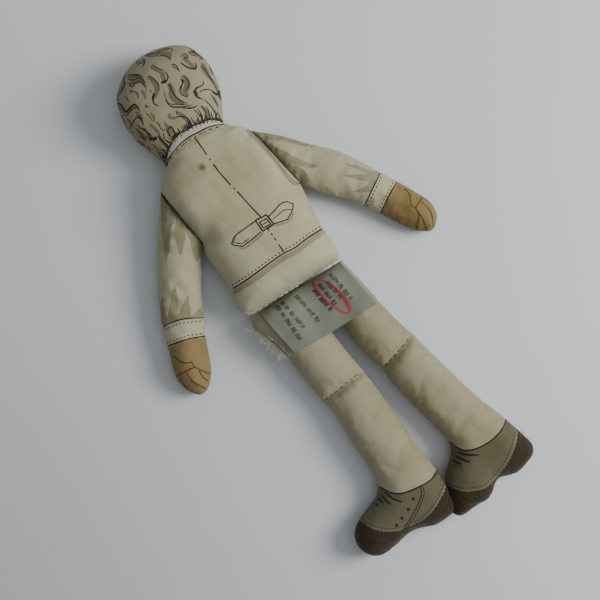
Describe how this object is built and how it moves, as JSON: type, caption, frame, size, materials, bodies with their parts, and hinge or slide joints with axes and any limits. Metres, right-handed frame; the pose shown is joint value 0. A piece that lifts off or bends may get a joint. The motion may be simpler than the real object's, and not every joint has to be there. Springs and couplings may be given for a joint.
{
  "type": "stuffed cloth doll",
  "caption": "Small flat stuffed rag doll of printed cotton, lying face down, with stitched fold lines at shoulders, hips and knees and a care label in the hip seam.",
  "frame": {"origin": "middle of the doll's footprint, on the surface it lies on", "axes": "+Y from soles to crown, +X towards the doll's own right hand, +Z out of its back"},
  "size_m": [0.0992, 0.1767, 0.0227],
  "materials": {
    "printed_cotton": "aged unbleached plain-weave cotton, matte, with dark line print",
    "stuffing": "loose polyester fibre fill",
    "thread": "dark cotton sewing thread",
    "label_tape": "thin greyish printed label tape"
  },
  "bodies": {
    "torso": {"torso_back_panel": "printed_cotton", "torso_front_panel": "printed_cotton", "torso_stuffing": "stuffing", "right_armhole_stitching": "thread", "left_armhole_stitching": "thread"},
    "head": {"head_back_panel": "printed_cotton", "head_front_panel": "printed_cotton", "head_stuffing": "stuffing"},
    "right_arm": {"right_arm_back_panel": "printed_cotton", "right_arm_front_panel": "printed_cotton", "right_arm_stuffing": "stuffing"},
    "left_arm": {"left_arm_back_panel": "printed_cotton", "left_arm_front_panel": "printed_cotton", "left_arm_stuffing": "stuffing"},
    "hip_seam": {"hip_seam_stitching": "thread"},
    "label": {"care_label": "label_tape"},
    "left_thigh": {"left_thigh_back_panel": "printed_cotton", "left_thigh_front_panel": "printed_cotton", "left_thigh_stuffing": "stuffing", "left_knee_stitching": "thread"},
    "right_thigh": {"right_thigh_back_panel": "printed_cotton", "right_thigh_front_panel": "printed_cotton", "right_thigh_stuffing": "stuffing", "right_knee_stitching": "thread"},
    "left_shin": {"left_shin_back_panel": "printed_cotton", "left_shin_front_panel": "printed_cotton", "left_shin_stuffing": "stuffing"},
    "right_shin": {"right_shin_back_panel": "printed_cotton", "right_shin_front_panel": "printed_cotton", "right_shin_stuffing": "stuffing"}
  },
  "joints": [
    {"name": "neck_nod", "type": "hinge", "parent": "torso", "child": "head", "pos_m": [-0.0045, 0.0564, 0.0094], "axis": [1, 0, 0], "range_deg": [-25, 25]},
    {"name": "right_arm_fold", "type": "hinge", "parent": "torso", "child": "right_arm", "pos_m": [0.01507, 0.0398, 0.0092], "axis": [0.181, -0.9835, 0], "range_deg": [-60, 60]},
    {"name": "left_arm_fold", "type": "hinge", "parent": "torso", "child": "left_arm", "pos_m": [-0.02045, 0.03938, 0.0092], "axis": [-0.1265, 0.992, 0], "range_deg": [-60, 60]},
    {"name": "hips_fold", "type": "hinge", "parent": "torso", "child": "hip_seam", "pos_m": [-0.0017, 0.0016, 0.009], "axis": [1, 0, 0], "range_deg": [-25, 40]},
    {"name": "left_leg_fold", "type": "hinge", "parent": "hip_seam", "child": "left_thigh", "pos_m": [-0.01, 0.0016, 0.009], "axis": [1, 0, 0], "range_deg": [0, 50]},
    {"name": "right_leg_fold", "type": "hinge", "parent": "hip_seam", "child": "right_thigh", "pos_m": [0.0083, 0.0016, 0.009], "axis": [1, 0, 0], "range_deg": [0, 50]},
    {"name": "left_knee_fold", "type": "hinge", "parent": "left_thigh", "child": "left_shin", "pos_m": [-0.00545, -0.03297, 0.0066], "axis": [-0.9792, -0.2028, 0], "range_deg": [-35, 70]},
    {"name": "right_knee_fold", "type": "hinge", "parent": "right_thigh", "child": "right_shin", "pos_m": [0.01505, -0.03308, 0.0066], "axis": [-0.9792, -0.2028, 0], "range_deg": [-35, 70]},
    {"name": "label_lift", "type": "hinge", "parent": "hip_seam", "child": "label", "pos_m": [-0.0002, 0.00085, 0.0102], "axis": [-1, 0, 0], "range_deg": [0, 60]}
  ]
}
